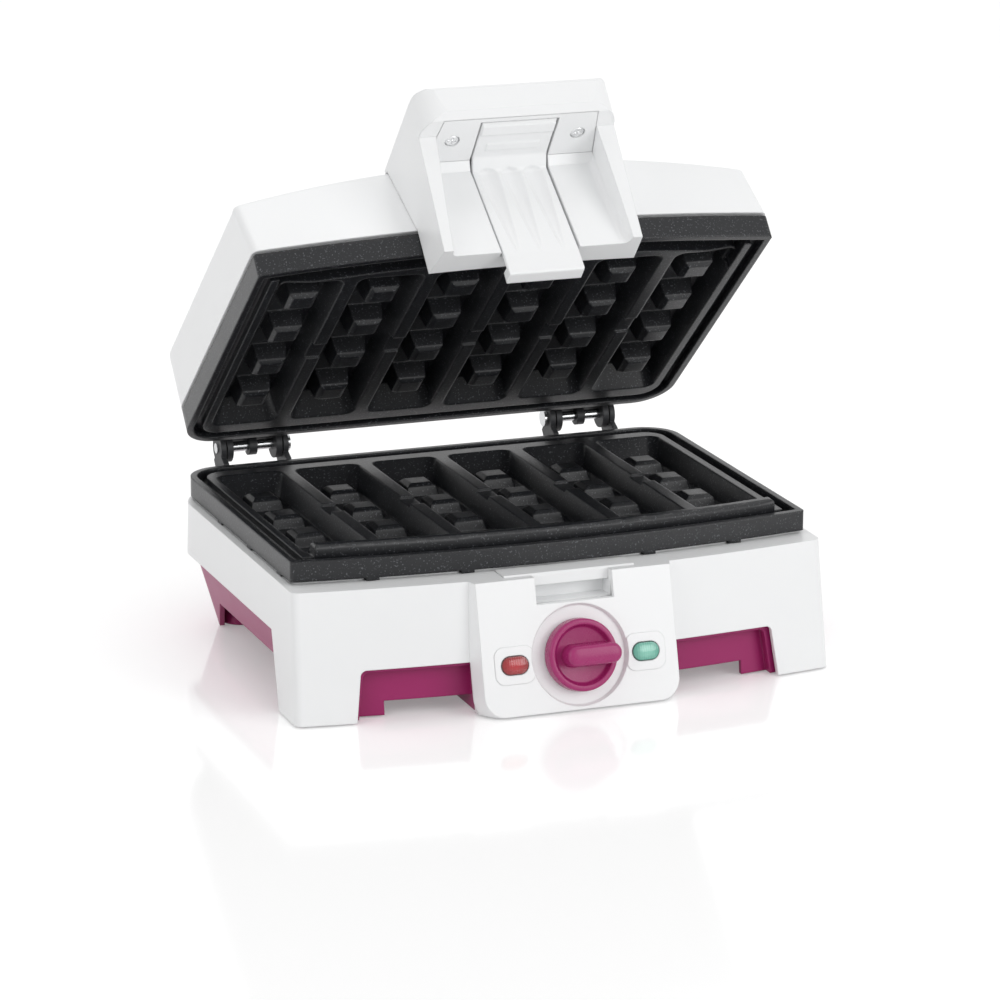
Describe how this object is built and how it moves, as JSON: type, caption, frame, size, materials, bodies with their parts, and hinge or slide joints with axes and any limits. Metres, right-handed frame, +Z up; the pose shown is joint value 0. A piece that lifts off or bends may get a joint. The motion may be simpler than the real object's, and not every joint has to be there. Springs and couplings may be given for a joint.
{
  "type": "waffle stick maker",
  "caption": "Countertop electric waffle stick maker: hinged lid, two non-stick plates with pegged stick channels, front latch, thermostat knob and two lamps.",
  "frame": {"origin": "on the table, under the middle of the appliance's outline with its lid open as in the picture", "axes": "+X to the right in a front view; +Y towards the hinges at the back; +Z up"},
  "size_m": [0.2594, 0.2463, 0.269],
  "materials": {
    "white_plastic": "smooth satin gloss",
    "raspberry_plastic": "smooth satin",
    "nonstick_casting": "black speckled non-stick coating",
    "pressed_steel": "bright aluminised sheet",
    "element_sheath": "dull dark oxidised tube",
    "clamp_steel": "zinc plated",
    "screw_steel": "zinc plated",
    "pin_steel": "turned, bright",
    "spring_steel": "drawn wire",
    "foot_rubber": "matt",
    "red_lens": "clear tinted",
    "green_lens": "clear tinted",
    "lamp_glass": "clear",
    "board": "bare laminate",
    "steatite": "unglazed ceramic",
    "fuse_metal": "plated",
    "thermostat_metal": "plated case",
    "dark_plastic": "fine texture"
  },
  "bodies": {
    "base": {"base_housing": "white_plastic", "latch_keeper": "white_plastic", "base_pan": "raspberry_plastic", "rubber_feet": "foot_rubber", "lower_plate": "nonstick_casting", "lower_heat_shield": "pressed_steel", "lower_element": "element_sheath", "lower_element_clamps": "clamp_steel", "pan_screws": "screw_steel", "bracket_screws": "screw_steel", "hinge_pins": "pin_steel", "thermostat": "thermostat_metal", "red_lens": "red_lens", "green_lens": "green_lens", "neon_lamps": "lamp_glass", "lamp_board": "board", "terminal_block": "steatite", "thermal_fuse": "fuse_metal", "cord_bush": "dark_plastic", "hinge_bracket_left": "dark_plastic", "hinge_bracket_right": "dark_plastic"},
    "lid": {"upper_plate": "nonstick_casting", "upper_heat_shield": "pressed_steel", "upper_element": "element_sheath", "upper_element_clamps": "clamp_steel", "lid_shell": "white_plastic", "handle_hood": "white_plastic", "handle_cover": "white_plastic", "handle_screws": "screw_steel", "latch_pin": "pin_steel", "latch_springs": "spring_steel", "hinge_arm_left": "dark_plastic", "hinge_arm_right": "dark_plastic", "arm_screws": "screw_steel"},
    "latch": {"latch_lever": "white_plastic"},
    "knob": {"control_knob": "raspberry_plastic", "thermostat_shaft": "pin_steel"}
  },
  "joints": [
    {"name": "lid_hinge", "type": "hinge", "parent": "base", "child": "lid", "pos_m": [0, 0.1051, 0.0752], "axis": [-1, 0, 0], "range_deg": [-41, 64]},
    {"name": "latch_pivot", "type": "hinge", "parent": "lid", "child": "latch", "pos_m": [0, -0.01291, 0.2292], "axis": [-1, 0, 0], "range_deg": [0, 8], "stiffness_Nm_per_rad": 0.4, "springref_deg": -20.05},
    {"name": "knob_turn", "type": "hinge", "parent": "base", "child": "knob", "pos_m": [0, -0.111, 0.0248], "axis": [0, -0.9659, 0.2588], "range_deg": [-135, 135]}
  ]
}
